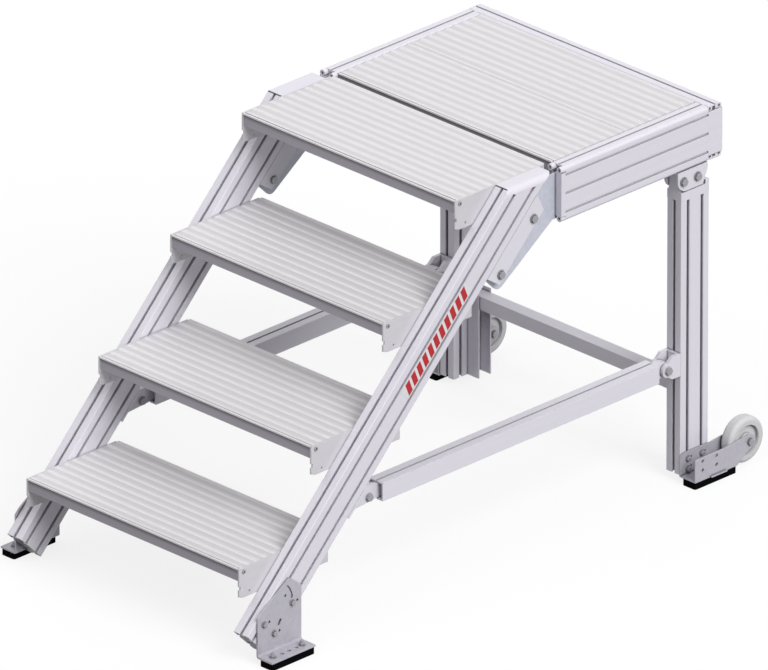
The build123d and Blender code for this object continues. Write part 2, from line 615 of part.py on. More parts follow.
def side_brace():
    """Hollow square profile with a groove line on top and below."""
    y = (BRACE_FRONT, BRACE_BACK)
    brace = block((SIDE_INNER, SIDE_OUTER), y, (BRACE_BOTTOM, BRACE_TOP))
    inner_x = (SIDE_INNER + BRACE_WALL, SIDE_OUTER - BRACE_WALL)
    brace -= block(inner_x, y, (BRACE_BOTTOM + BRACE_WALL, BRACE_TOP - BRACE_WALL))
    groove_x = (SIDE_MIDDLE - PLATFORM_GROOVE / 2, SIDE_MIDDLE + PLATFORM_GROOVE / 2)
    low_groove = (BRACE_BOTTOM, BRACE_BOTTOM + PLATFORM_GROOVE_DEPTH)
    top_groove = (BRACE_TOP - PLATFORM_GROOVE_DEPTH, BRACE_TOP)
    for z in (low_groove, top_groove):
        brace -= block(groove_x, y, z)
    return brace


def brace_plug(y):
    """Plug inside the end of the brace."""
    inset = BRACE_WALL + TONGUE_CLEARANCE
    return block((SIDE_INNER + inset, SIDE_OUTER - inset), y, (BRACE_BOTTOM + inset, BRACE_TOP - inset))


def brace_front_joint():
    """Base on the stringer's back face and a tongue, with its bolt, that runs to a plug inside the brace."""
    low, high = FRONT_JOINT_ALONG - JOINT_BASE_LENGTH / 2, FRONT_JOINT_ALONG + JOINT_BASE_LENGTH / 2
    near, far = STRINGER_BACK_OFFSET, STRINGER_BACK_OFFSET + JOINT_BASE
    base = prism([on_slope(a, d) for a, d in ((low, near), (high, near), (high, far), (low, far))],
                 SIDE_INNER, SIDE_OUTER)
    inset = BRACE_WALL + TONGUE_CLEARANCE
    plug_front = BRACE_FRONT + BRACE_RECESS
    top, bottom = BRACE_TOP - inset, BRACE_BOTTOM + inset
    tongue_x = (SIDE_MIDDLE - BRACE_TONGUE / 2, SIDE_MIDDLE + BRACE_TONGUE / 2)
    tongue = prism([on_slope(low, near), on_slope(high, near), (BRACE_FRONT, top), (plug_front, top),
                    (plug_front, bottom), (BRACE_FRONT, bottom)], *tongue_x)
    pivot_y = STRINGER_BACK_AT_BRACE + FRONT_PIVOT_SETBACK
    bolt = cross_hexagon(BOLT_HEAD_RADIUS, pivot_y, BRACE_MIDDLE_HEIGHT - FRONT_PIVOT_DROP,
                         tongue_x[0] - BOLT_HEAD_HEIGHT, tongue_x[1] + BOLT_HEAD_HEIGHT)
    return base + tongue + bolt + brace_plug((plug_front, plug_front + BRACE_PLUG))


def brace_rear_joint():
    """Fork on the leg's front face, with its bolt through the eye of a tongue from inside the brace."""
    low, high = BRACE_BOTTOM - JOINT_CHEEK_BELOW, BRACE_TOP + JOINT_CHEEK_ABOVE
    pivot = (LEG_FRONT - REAR_PIVOT_SETBACK, BRACE_MIDDLE_HEIGHT)
    shoulder = LEG_FRONT - JOINT_CHEEK_LENGTH
    outline = [(LEG_FRONT, low), (LEG_FRONT, high), (shoulder, high), (pivot[0], pivot[1] + JOINT_EYE_RADIUS),
               (pivot[0], pivot[1] - JOINT_EYE_RADIUS), (shoulder, low)]
    joint = block((SIDE_INNER, SIDE_OUTER), (LEG_FRONT - JOINT_BASE, LEG_FRONT), (low, high))
    for x in (SIDE_INNER, SIDE_OUTER - JOINT_CHEEK):
        joint += prism(outline, x, x + JOINT_CHEEK)
        joint += cross_rod(JOINT_EYE_RADIUS, *pivot, x, x + JOINT_CHEEK)
    inset = JOINT_CHEEK + JOINT_EYE_GAP
    tongue_x = (SIDE_INNER + inset, SIDE_OUTER - inset)
    plug_back = BRACE_BACK - BRACE_RECESS
    tongue_z = (pivot[1] - JOINT_EYE_RADIUS, pivot[1] + JOINT_EYE_RADIUS)
    joint += block(tongue_x, (plug_back, pivot[0]), tongue_z) + cross_rod(JOINT_EYE_RADIUS, *pivot, *tongue_x)
    joint += through_bolt(*pivot, SIDE_INNER, SIDE_OUTER)
    return joint + brace_plug((plug_back - BRACE_PLUG, plug_back))


TIE_BACK = LEG_BACK - TIE_SETBACK
TIE_Y = (TIE_BACK - TIE_SECTION, TIE_BACK)


def leg_channel():
    """Upright U-channel on the leg's inner face, around the tie's end."""
    inner_y = (TIE_Y[0] - TIE_CLEARANCE, TIE_Y[1] + TIE_CLEARANCE)
    outer_y = (inner_y[0] - TIE_CHANNEL_SHEET, inner_y[1] + TIE_CHANNEL_SHEET)
    z = (LEG_BOTTOM, TIE_TOP + TIE_CHANNEL_ABOVE)
    open_side = SIDE_INNER - TIE_CHANNEL_DEPTH
    channel = block((open_side, SIDE_INNER), outer_y, z)
    inner_x = (open_side - CUT_OVERRUN, SIDE_INNER - TIE_CHANNEL_SHEET)
    return channel - block(inner_x, inner_y, (z[0] - CUT_OVERRUN, z[1] + CUT_OVERRUN))


def cross_beam():
    half = SIDE_INNER - TIE_CHANNEL_SHEET
    z = (TIE_TOP - TIE_SECTION, TIE_TOP)
    tube = block((-half, half), TIE_Y, z)
    inner_y = (TIE_Y[0] + TIE_CHANNEL_SHEET, TIE_Y[1] - TIE_CHANNEL_SHEET)
    return tube - block((-half, half), inner_y, (z[0] + TIE_CHANNEL_SHEET, z[1] - TIE_CHANNEL_SHEET))


FOOT_MIDDLE_Y = (FOOT_FRONT + FOOT_BACK) / 2
FLANGE_TOP = PAD_HEIGHT + FOOT_SHEET


def anchor_holes():
    """Rods of the three fixing holes through the foot's flange and its pad."""
    holes = []
    middle_y = FOOT_MIDDLE_Y + FOOT_HOLE_SHIFT
    for offset in (-FOOT_HOLE_PITCH, 0, FOOT_HOLE_PITCH):
        place = Pos(SIDE_OUTER + FOOT_HOLE_OFFSET, middle_y + offset, FLANGE_TOP / 2)
        holes.append(place * Cylinder(FOOT_HOLE_RADIUS, FLANGE_TOP))
    return holes


def foot_bolt_point(bolt):
    """Point (y, z) of a foot bolt on one of the slots of the stringer's outer face."""
    along, slot = FOOT_BOLTS[bolt]
    offset = STRINGER_MIDDLE_OFFSET + SLOT_SIDES[slot] * SLOT_SPACING / 2
    return on_slope(STRINGER_FOOT + along, offset)


def foot_slots():
    """Outlines of the foot's curved slot above its upper bolt and of the short slot above a lower one."""
    y, z = foot_bolt_point("high_back")
    centre = (y - FOOT_SLOT_RADIUS, z + FOOT_SLOT_RISE)
    curve = CenterArc(centre, FOOT_SLOT_RADIUS, FOOT_SLOT_START, FOOT_SLOT_SWEEP)
    y, z = foot_bolt_point("low_back")
    middle = Pos(y + FOOT_SHORT_SLOT_BACK, z + FOOT_SHORT_SLOT_RISE)
    short = middle * Rot(0, 0, FOOT_SHORT_SLOT_TILT) * SlotOverall(FOOT_SHORT_SLOT_LENGTH, FOOT_SLOT_WIDTH)
    return SlotArc(curve, FOOT_SLOT_WIDTH), short


def front_foot():
    """Steel angle on the stringer's outer face, with a flange on the pad and spare holes beside its bolts."""
    outline = [(FOOT_FRONT, PAD_HEIGHT), (FOOT_FRONT, FOOT_FRONT_HEIGHT),
               (FOOT_FRONT + FOOT_SHOULDER, FOOT_FRONT_HEIGHT + FOOT_SHOULDER),
               (FOOT_BACK - FOOT_PEAK_SETBACK, FOOT_PEAK_HEIGHT), (FOOT_BACK, FOOT_BACK_HEIGHT),
               (FOOT_BACK, PAD_HEIGHT)]
    plate_x = (SIDE_OUTER, SIDE_OUTER + FOOT_SHEET)
    foot = prism(outline, *plate_x)
    foot += block((SIDE_OUTER, FOOT_OUTER), (FOOT_FRONT, FOOT_BACK), (PAD_HEIGHT, FLANGE_TOP))
    bends = foot.edges().filter_by(Axis.Y).sort_by_distance((plate_x[1], FOOT_MIDDLE_Y, FLANGE_TOP))
    foot = fillet(bends[0], FOOT_BEND)
    heels = foot.edges().filter_by(Axis.Y).sort_by_distance((plate_x[0], FOOT_MIDDLE_Y, PAD_HEIGHT))
    foot = fillet(heels[0], FOOT_BEND)
    for bolt, back, up in FOOT_SPARE_HOLES:
        y, z = foot_bolt_point(bolt)
        foot -= cross_rod(FOOT_SPARE_RADIUS, y + back, z + up, *plate_x)
    for slot in foot_slots():
        foot -= extrude(Plane.YZ.offset(plate_x[0]) * slot, FOOT_SHEET, dir=(1, 0, 0))
    return foot - anchor_holes()


def pad(x, y):
    """Rubber pad on the floor with rounded corners."""
    plain = block(x, y, (0, PAD_HEIGHT))
    return fillet(plain.edges().filter_by(Axis.Z), PAD_ROUND)


def front_pad():
    x = (FOOT_OUTER - PAD_WIDTH, FOOT_OUTER)
    y = (FOOT_MIDDLE_Y - PAD_LENGTH / 2, FOOT_MIDDLE_Y + PAD_LENGTH / 2)
    return pad(x, y) - anchor_holes()


def wheel_bracket():
    """U-channel of sheet on the rear pad: two arms to the wheel's axle, a tab, holes at the leg's slots."""
    y = (BRACKET_FRONT, BRACKET_BACK)
    base_z = (PAD_HEIGHT, PAD_HEIGHT + BRACKET_SHEET)
    bracket = block((BRACKET_INNER, BRACKET_OUTER), y, base_z)
    tab_y = (y[0] + BRACKET_TAB_START, y[0] + BRACKET_TAB_START + BRACKET_TAB_LENGTH)
    bracket += block((BRACKET_OUTER, BRACKET_OUTER + BRACKET_TAB), tab_y, base_z)
    outline = [(y[0], PAD_HEIGHT), (y[0], BRACKET_TOP), (y[0] + BRACKET_ARM_START, BRACKET_TOP),
               (AXLE_Y, AXLE_Z + BRACKET_ARM_RADIUS), (AXLE_Y, AXLE_Z - BRACKET_ARM_RADIUS),
               (y[1], PAD_HEIGHT)]
    inner_x = (BRACKET_INNER, BRACKET_INNER + BRACKET_SHEET)
    outer_x = (BRACKET_OUTER - BRACKET_SHEET, BRACKET_OUTER)
    inner_plate = prism(outline, *inner_x)
    corners = inner_plate.edges().filter_by(Axis.X).sort_by_distance((BRACKET_INNER, y[0], BRACKET_TOP))
    bracket += fillet(corners[0], BRACKET_ROUND)
    bracket += prism(outline, *outer_x)
    for x in (inner_x, outer_x):
        bracket += cross_rod(BRACKET_ARM_RADIUS, AXLE_Y, AXLE_Z, *x)
    bracket -= cross_rod(AXLE_RADIUS + BOLT_CLEARANCE, AXLE_Y, AXLE_Z, BRACKET_INNER, BRACKET_OUTER)
    for side in (-1, 1):
        slot_line = (LEG_FRONT + LEG_BACK) / 2 + side * SLOT_SPACING / 2
        for level in (-BRACKET_HOLE_PITCH / 2, BRACKET_HOLE_PITCH / 2):
            bracket -= cross_rod(BRACKET_HOLE_RADIUS, slot_line, BRACKET_HOLE_HEIGHT + level, *outer_x)
            spare = (slot_line + BRACKET_SPARE_BACK, BRACKET_SPARE_HEIGHT + level)
            bracket -= cross_rod(BRACKET_SPARE_RADIUS, *spare, *inner_x)
    return bracket


def rear_pad():
    return pad((BRACKET_OUTER - PAD_WIDTH, BRACKET_OUTER), (BRACKET_FRONT, BRACKET_BACK))


def wheel_axle():
    """Axle bolt through both arms, with a collar between each arm and the wheel's hub."""
    nut_end, head_end = BRACKET_INNER - BOLT_HEAD_HEIGHT, BRACKET_OUTER + BOLT_HEAD_HEIGHT
    axle = cross_rod(AXLE_RADIUS, AXLE_Y, AXLE_Z, nut_end, head_end)
    axle += cross_hexagon(AXLE_HEAD_RADIUS, AXLE_Y, AXLE_Z, BRACKET_OUTER, head_end)
    axle += cross_hexagon(AXLE_HEAD_RADIUS, AXLE_Y, AXLE_Z, nut_end, BRACKET_INNER)
    collar = WHEEL_SIDE_CLEARANCE - AXLE_COLLAR_CLEARANCE
    inner, outer = BRACKET_INNER + BRACKET_SHEET, BRACKET_OUTER - BRACKET_SHEET
    axle += cross_rod(AXLE_COLLAR_RADIUS, AXLE_Y, AXLE_Z, inner, inner + collar)
    axle += cross_rod(AXLE_COLLAR_RADIUS, AXLE_Y, AXLE_Z, outer - collar, outer)
    return axle


def wheel():
    """Plastic wheel with a round tread, recessed sides, a hub and a plain bore."""
    rim_x = (WHEEL_MIDDLE - WHEEL_WIDTH / 2, WHEEL_MIDDLE + WHEEL_WIDTH / 2)
    rim = cross_rod(WHEEL_RADIUS, AXLE_Y, AXLE_Z, *rim_x)
    rim = fillet(rim.edges().filter_by(GeomType.CIRCLE), WHEEL_ROUND)
    for x in (rim_x[0], rim_x[1] - WHEEL_RECESS_DEPTH):
        rim -= cross_rod(WHEEL_RECESS_RADIUS, AXLE_Y, AXLE_Z, x, x + WHEEL_RECESS_DEPTH)
    hub_x = (WHEEL_MIDDLE - HUB_WIDTH / 2, WHEEL_MIDDLE + HUB_WIDTH / 2)
    rim += cross_rod(WHEEL_HUB_RADIUS, AXLE_Y, AXLE_Z, *hub_x)
    return rim - cross_rod(AXLE_RADIUS + AXLE_CLEARANCE, AXLE_Y, AXLE_Z, *hub_x)


HANDED = {
    "stringer": stringer,
    "stringer_cap": stringer_cap,
}

PAIRED = {
    "head_channel": head_channel,
    "web_plate": web_plate,
    "head_bolts": head_bolts,
    "platform_side": platform_side,
    "rear_leg": rear_leg,
    "leg_head": leg_head,
    "leg_bracket": leg_bracket,
    "leg_bolts": leg_bolts,
    "side_brace": side_brace,
    "brace_front_joint": brace_front_joint,
    "brace_rear_joint": brace_rear_joint,
    "leg_channel": leg_channel,
    "front_foot": front_foot,
    "front_pad": front_pad,
    "wheel_bracket": wheel_bracket,
    "rear_pad": rear_pad,
    "wheel_axle": wheel_axle,
    "wheel": wheel,
}

SINGLE = {
    "platform_rear": platform_rear,
    "platform_end_plates": platform_end_plates,
    "platform_front_beam": platform_front_beam,
    "cross_beam": cross_beam,
}


def save(node, shape):
    export_step(Pos(0, -Y_MIDDLE, 0) * shape, f"parts/{node}.step")


def main():
    os.makedirs("parts", exist_ok=True)
    for node, make in HANDED.items():
        save(f"{node}_right", make(CAP_ROUNDS["right"]))
        save(f"{node}_left", mirror(make(CAP_ROUNDS["left"]), Plane.YZ))
    for node, make in PAIRED.items():
        shape = make()
        save(f"{node}_right", shape)
        save(f"{node}_left", mirror(shape, Plane.YZ))
    for node, make in SINGLE.items():
        save(node, make())
    for index in range(DECK_PLANKS):
        save(f"deck_plank_{index + 1}", deck_plank(index))
    for index in range(STEP_COUNT):
        save(f"step_{index + 1}", step(index))
        save(f"step_{index + 1}_cheeks", step_cheeks(index))


main()
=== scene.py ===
"""Looks of the mobile platform steps: finishes, fasteners, a striped sticker, light, floor and camera.

Metres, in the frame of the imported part: X across, Y in the climbing direction, Z up. Places on the stair are
given from the nosing of the first step.
"""

import math
from collections import namedtuple

import bmesh
import bpy
from mathutils import Matrix, Vector

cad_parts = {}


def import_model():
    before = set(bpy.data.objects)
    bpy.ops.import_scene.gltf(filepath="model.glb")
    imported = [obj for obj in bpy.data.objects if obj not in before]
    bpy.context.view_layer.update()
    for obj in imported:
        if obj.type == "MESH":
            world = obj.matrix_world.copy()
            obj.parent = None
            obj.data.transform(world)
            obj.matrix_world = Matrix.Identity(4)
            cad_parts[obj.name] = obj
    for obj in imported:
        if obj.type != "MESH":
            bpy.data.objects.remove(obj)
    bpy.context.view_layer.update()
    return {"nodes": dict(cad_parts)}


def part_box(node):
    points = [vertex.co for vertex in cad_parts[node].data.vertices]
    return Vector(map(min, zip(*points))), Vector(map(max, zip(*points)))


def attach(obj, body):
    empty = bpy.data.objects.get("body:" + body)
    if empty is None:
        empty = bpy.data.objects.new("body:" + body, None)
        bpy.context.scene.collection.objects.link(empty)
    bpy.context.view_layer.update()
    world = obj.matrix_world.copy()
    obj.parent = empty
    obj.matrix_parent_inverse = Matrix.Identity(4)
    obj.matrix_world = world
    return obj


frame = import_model()
NODES = frame["nodes"]
NOSING_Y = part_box("step_1")[0].y

# Camera: the photograph is a parallel view from the right front, so the lens is very long
AZIMUTH = math.radians(45.0)
ELEVATION = math.radians(24.9)
LENS = 1480.0
SENSOR = 36.0
FRAME_WIDTH = 1.5508
TARGET = Vector((0.0, NOSING_Y + 0.7140, 0.3845))

# Light
AMBIENT = 0.30
FLOOR_SIZE = 12.0
FLOOR_COLOUR = (0.16, 0.16, 0.163, 1.0)
FLOOR_GLOW = 0.83
FLOOR_ROUGHNESS = 0.9
WHITE = (1.0, 1.0, 1.0, 1.0)

# Soft lamps: strength, direction they come from and how wide they are, in degrees
LAMPS = {
    "key": (2.75, Vector((0.76, -0.08, 0.645)), 36.0),
    "front": (0.70, Vector((0.00, -0.60, 0.80)), 60.0),
    "rear_fill": (0.70, Vector((-0.77, 0.57, 0.27)), 50.0),
}

# Colours
ALUMINIUM = (0.72, 0.70, 0.765)
CHEEK_ALUMINIUM = (0.62, 0.605, 0.635)
TREAD = (0.71, 0.694, 0.715)
# Painted shade of the nosing's front face, darkest just below the lip
NOSING_PAINTED_SHADE_DARK = (0.200, 0.190, 0.210)
NOSING_PAINTED_SHADE_PALE = (0.430, 0.405, 0.455)
STEEL = (0.47, 0.455, 0.51)
BLUE_STEEL = (0.57, 0.59, 0.675)
ZINC = (0.35, 0.35, 0.37)
RUBBER = (0.002, 0.002, 0.0024)
POLYAMIDE = (0.60, 0.60, 0.61)
STICKER = (0.72, 0.73, 0.745)
STICKER_RED = (0.45, 0.009, 0.017)

# Kinds of surface. The colour and the roughness each go between two values. Clouds and grain are noises as
# (scale, detail), relief is (strength, depth), edge is the tint of a painted highlight on the edges and
# crevice the tint of painted shade in the crevices.
SURFACE_COLUMNS = "metallic gloss shades rough clouds grain relief edge crevice"
Surface = namedtuple("Surface", SURFACE_COLUMNS, defaults=[None] * 4)
SURFACES = {
    "extruded": Surface(
        metallic=0.12, gloss=0.35, shades=(0.95, 1.05), rough=(0.34, 0.56), clouds=(9.0, 3.0),
        relief=(0.12, 0.0004), edge=1.15, crevice=0.45),
    "plank": Surface(
        metallic=0.05, gloss=0.22, shades=(0.84, 1.04), rough=(0.52, 0.36), clouds=(160.0, 5.0),
        relief=(0.10, 0.0004)),
    "steel": Surface(
        metallic=0.20, gloss=0.50, shades=(0.90, 1.10), rough=(0.36, 0.50), clouds=(30.0, 4.0),
        grain=(420.0, 4.0), relief=(0.08, 0.0004), edge=1.35, crevice=0.35),
    "zinc": Surface(
        metallic=0.40, gloss=0.50, shades=(0.80, 1.20), rough=(0.28, 0.45), clouds=(220.0, 4.0),
        relief=(0.05, 0.0002), edge=1.60, crevice=0.35),
    "rubber": Surface(
        metallic=0.0, gloss=0.02, shades=(0.70, 1.80), rough=(0.65, 0.90), clouds=(60.0, 5.0),
        grain=(700.0, 4.0), relief=(0.25, 0.0006)),
    "plastic": Surface(
        metallic=0.0, gloss=0.40, shades=(0.95, 1.04), rough=(0.38, 0.52), clouds=(40.0, 4.0),
        grain=(900.0, 2.0), relief=(0.08, 0.0004), edge=1.10, crevice=0.55),
    "film": Surface(
        metallic=0.0, gloss=0.40, shades=(0.96, 1.03), rough=(0.32, 0.48), clouds=(80.0, 3.0)),
}
# Tints of the painted shade in the crevices of the cheeks and of the stringers
CHEEK_CREVICE = 0.85
STRINGER_CREVICE = 0.65
# Tint of the painted shade on the stringers' lower ends and on their edges below the caps
END_PAINTED_SHADE = 0.15
# Tints of the painted shade in the nosing's groove and of the painted highlight on its lip
GROOVE_PAINTED_SHADE = 0.45
LIP_PAINTED_HIGHLIGHT = 1.15
FACET_SCALE = 130.0

# Die lines: how fine they are each way and how much wider their bands are
LINES_ALONG = 3.0
LINES_ACROSS = 700.0
BAND_WIDTH = 8.0

# Shares of the lines, specks and facets in the tone of their surface
LINE_SHARE = 0.35
SPECK_SHARE = 0.25
FACET_SHARE = 0.5

# Planks: ribs with their painted highlight and shade, and the lip with its painted highlight and shade, from a
# plank's top front edge
RIB_PITCH = 0.0244
FIRST_RIB = 0.0335
RIB_FLANK = (0.31, 0.18)
LIP_WIDTH = 0.0035
GROOVE_BACK = 0.0050
GROOVE_HALF = 0.0015
LIP_HEIGHT = 0.0040
NOSING_RECESS = 0.0020
NOSING_SHADE_END = 0.0150
PAINT_MARGIN = 0.0004
SEAM = 0.0022

# Rounding that the light shows on the edges of metal pieces, which also marks where their painted highlight
# goes, and how far the painted shade of a corner reaches
EDGE_RADIUS = 0.0009
EDGE_SAMPLES = 6
EDGE_TURN = (0.995, 0.85)
CREVICE_REACH = 0.006
CREVICE_SAMPLES = 8
CREVICE_LIGHT = (0.95, 0.50)

# Stair and stringer
SLOPE = math.radians(45.0)
FIRST_STEP_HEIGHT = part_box("step_1")[1].z
STRINGER_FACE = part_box("stringer_right")[1].x
CHEEK_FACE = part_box("step_1_cheeks")[1].x
STRINGER_START = min(v.co.y * math.cos(SLOPE) + v.co.z * math.sin(SLOPE)
                     for v in NODES["stringer_right"].data.vertices)

# Pins of the brace joints as (y, z): in front of the brace and of the leg
BRACE_LOW, BRACE_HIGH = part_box("side_brace_right")
BRACE_MIDDLE = (BRACE_LOW.z + BRACE_HIGH.z) / 2
FRONT_PIN_LEAD = 0.025
FRONT_PIN_DROP = 0.007
FRONT_PIN = (BRACE_LOW.y - FRONT_PIN_LEAD, BRACE_MIDDLE - FRONT_PIN_DROP)
REAR_PIN_LEAD = 0.036
REAR_PIN = (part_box("rear_leg_right")[0].y - REAR_PIN_LEAD, BRACE_MIDDLE)
PIN_RADIUS = 0.0087

# Fasteners
FOOT_SHEET = 0.004
BRACKET_SHEET = 0.0025
WASHER_RADIUS = 0.0068
WASHER_HEIGHT = 0.0014
HEAD_RADIUS = 0.0058
HEAD_HEIGHT = 0.0045
THREAD_RADIUS = 0.0038
THREAD_HEIGHT = 0.0040
LARGE_WASHER_RADIUS = 0.0100
LARGE_WASHER_HEIGHT = 0.0020
SCREW_RADIUS = 0.0048
SCREW_HEIGHT = 0.0022
ROUND_SIDES = 32
HEXAGON_SIDES = 6
WASHER_CHAMFER = 0.25
HEXAGON_CHAMFER = 0.2
HEXAGON_CHAMFER_SLOPE = 1.5

# Outlines of turned pieces as (share of the radius, share of the height)
THREAD_RINGS = [(1.0, 0.0), (1.0, 0.8), (0.75, 1.0)]
SCREW_RINGS = [(1.0, 0.0), (1.0, 0.35), (0.86, 0.8), (0.6, 1.0), (0.48, 1.0), (0.44, 0.3)]

# Sticker on the right stringer: its limits along the nosing line and behind it
STICKER_ALONG = (0.483, 0.742)
STICKER_OFFSET = (0.1055, 0.1370)
STICKER_HEIGHT = 0.0003
STICKER_ROUND = 0.003
CORNER_PARTS = 6
STRIPE_HEIGHT = 0.00015
STRIPE_COUNT = 11
STRIPE_SHARE = 0.66
STRIPE_MARGIN = 0.0028
STRIPE_LEAN = 0.011


class Finish:
    """A Principled material of one kind of surface, whose nodes are added one by one."""

    def __init__(self, name, kind):
        self.surface = SURFACES[kind]
        self.material = bpy.data.materials.new(name)
        self.material.use_nodes = True
        self.tree = self.material.node_tree
        self.shader = self.tree.nodes["Principled BSDF"]
        self.shader.inputs["Metallic"].default_value = self.surface.metallic
        self.shader.inputs["Specular IOR Level"].default_value = self.surface.gloss
        self.place = self.tree.nodes.new("ShaderNodeTexCoord").outputs["Object"]
        self.rounded = None

    def feed(self, socket, value):
        if isinstance(value, bpy.types.NodeSocket):
            self.tree.links.new(value, socket)
        else:
            socket.default_value = value

    def node(self, kind, inputs, **settings):
        made = self.tree.nodes.new(kind)
        for key, value in settings.items():
            setattr(made, key, value)
        for key, value in inputs.items():
            self.feed(made.inputs[key], value)
        return made

    def math(self, operation, *values):
        return self.node("ShaderNodeMath", dict(enumerate(values)), operation=operation).outputs[0]

    def stretched(self, axis_turn, scale):
        """Place, turned about X and scaled on each axis."""
        inputs = {"Vector": self.place, "Rotation": (axis_turn, 0, 0), "Scale": scale}
        return self.node("ShaderNodeMapping", inputs).outputs[0]

    def noise(self, vector, scale=1.0, detail=3.0):
        inputs = {"Vector": vector, "Scale": scale, "Detail": detail}
        return self.node("ShaderNodeTexNoise", inputs).outputs["Fac"]

    def clouds(self):
        return self.noise(self.place, *self.surface.clouds)

    def grain(self):
        return self.noise(self.place, *self.surface.grain)

    def mixed(self, share, first, second):
        """Value made of a share of the first and the rest of the second."""
        return self.math("MULTIPLY_ADD", first, share, self.math("MULTIPLY", second, 1 - share))

    def ranged(self, value, low, high):
        inputs = {"Value": value, "To Min": low, "To Max": high}
        return self.node("ShaderNodeMapRange", inputs).outputs["Result"]

    def ramp(self, value, start, end):
        """Smooth step from 0 at start to 1 at end."""
        inputs = {"Value": value, "From Min": start, "From Max": end}
        return self.node("ShaderNodeMapRange", inputs, interpolation_type="SMOOTHSTEP").outputs["Result"]

    def blend(self, share, first, second):
        """Colour between two, by share."""
        mix = self.node("ShaderNodeMix", {}, data_type="RGBA")
        self.feed(mix.inputs["Factor"], share)
        self.feed(mix.inputs[6], first)
        self.feed(mix.inputs[7], second)
        return mix.outputs[2]

    def edges(self):
        """Rounds the shading over the edges, and gives 1 on an edge and 0 away from it."""
        bevel = self.node("ShaderNodeBevel", {"Radius": EDGE_RADIUS}, samples=EDGE_SAMPLES)
        self.rounded = bevel.outputs["Normal"]
        flat = self.tree.nodes.new("ShaderNodeNewGeometry").outputs["Normal"]
        turn = self.node("ShaderNodeVectorMath", {0: self.rounded, 1: flat}, operation="DOT_PRODUCT")
        return self.ramp(turn.outputs["Value"], *EDGE_TURN)

    def crevices(self):
        """1 deep in grooves, slots and seams, 0 on open faces: where the painted shade goes."""
        inputs = {"Distance": CREVICE_REACH}
        free = self.node("ShaderNodeAmbientOcclusion", inputs, samples=CREVICE_SAMPLES)
        return self.ramp(free.outputs["AO"], *CREVICE_LIGHT)

    def varied(self, tone, colour):
        """Colour between the surface's two shades, by tone."""
        dark, pale = self.surface.shades
        return self.blend(tone, tint(colour, dark), tint(colour, pale))

    def with_painted_light(self, plain, colour, crevice=None):
        """Colour with a paler tint of it on the edges as a painted highlight, and a darker one in the crevices
        as painted shade.
        """
        with_edges = self.blend(self.edges(), plain, tint(colour, self.surface.edge))
        return self.blend(self.crevices(), with_edges, tint(colour, crevice or self.surface.crevice))

    def nosing(self, plain, back, drop, colour):
        """Painted highlight on the lip, painted shade in the groove behind it and on the front face, darkest
        just below the lip.
        """
        from_groove = self.math("ABSOLUTE", self.math("SUBTRACT", back, GROOVE_BACK))
        groove = self.math("LESS_THAN", from_groove, GROOVE_HALF)
        on_lip = self.math("LESS_THAN", back, LIP_WIDTH)
        under_lip = self.math("GREATER_THAN", drop, LIP_HEIGHT - PAINT_MARGIN)
        in_recess = self.math("LESS_THAN", back, NOSING_RECESS + PAINT_MARGIN)
        lower = self.ramp(drop, LIP_HEIGHT, NOSING_SHADE_END)
        front = self.blend(lower, tint(NOSING_PAINTED_SHADE_DARK), tint(NOSING_PAINTED_SHADE_PALE))
        plain = self.blend(groove, plain, tint(colour, GROOVE_PAINTED_SHADE))
        plain = self.blend(on_lip, plain, tint(colour, LIP_PAINTED_HIGHLIGHT))
        return self.blend(self.math("MULTIPLY", under_lip, in_recess), plain, front)

    def cut_ends(self, start, top):
        """1 on a stringer's lower end, by its distance along the slope, and on its edge below the cap: where
        painted shade goes.
        """
        split = self.node("ShaderNodeSeparateXYZ", {"Vector": self.place})
        level = self.math("MULTIPLY", split.outputs["Z"], math.sin(SLOPE))
        along = self.math("MULTIPLY_ADD", split.outputs["Y"], math.cos(SLOPE), level)
        low_end = self.math("LESS_THAN", along, start + PAINT_MARGIN)
        return self.math("MAXIMUM", low_end, self.math("GREATER_THAN", split.outputs["Z"], top - SEAM))

    def around(self, middle, radius):
        """1 within a radius of the line along X through a (y, z) place."""
        split = self.node("ShaderNodeSeparateXYZ", {"Vector": self.place})
        back = self.math("SUBTRACT", split.outputs["Y"], middle[0])
        up = self.math("SUBTRACT", split.outputs["Z"], middle[1])
        square = self.math("MULTIPLY_ADD", back, back, self.math("MULTIPLY", up, up))
        return self.math("LESS_THAN", square, radius * radius)

    def colour(self, value):
        self.feed(self.shader.inputs["Base Color"], value)

    def rough(self, tone):
        self.feed(self.shader.inputs["Roughness"], self.ranged(tone, *self.surface.rough))

    def bump(self, height):
        strength, depth = self.surface.relief
        inputs = {"Height": height, "Strength": strength, "Distance": depth}
        if self.rounded:
            inputs["Normal"] = self.rounded
        self.feed(self.shader.inputs["Normal"], self.node("ShaderNodeBump", inputs).outputs["Normal"])


def tint(colour, factor=1.0):
    return tuple(min(1.0, channel * factor) for channel in colour) + (1.0,)


# Extrusion directions as (turn about X, scale of the die lines on each axis)
GRAIN = {
    "x": (0.0, (LINES_ALONG, LINES_ACROSS, LINES_ACROSS)),
    "y": (0.0, (LINES_ACROSS, LINES_ALONG, LINES_ACROSS)),
    "z": (0.0, (LINES_ACROSS, LINES_ACROSS, LINES_ALONG)),
    "slope": (-SLOPE, (LINES_ACROSS, LINES_ALONG, LINES_ACROSS)),
}


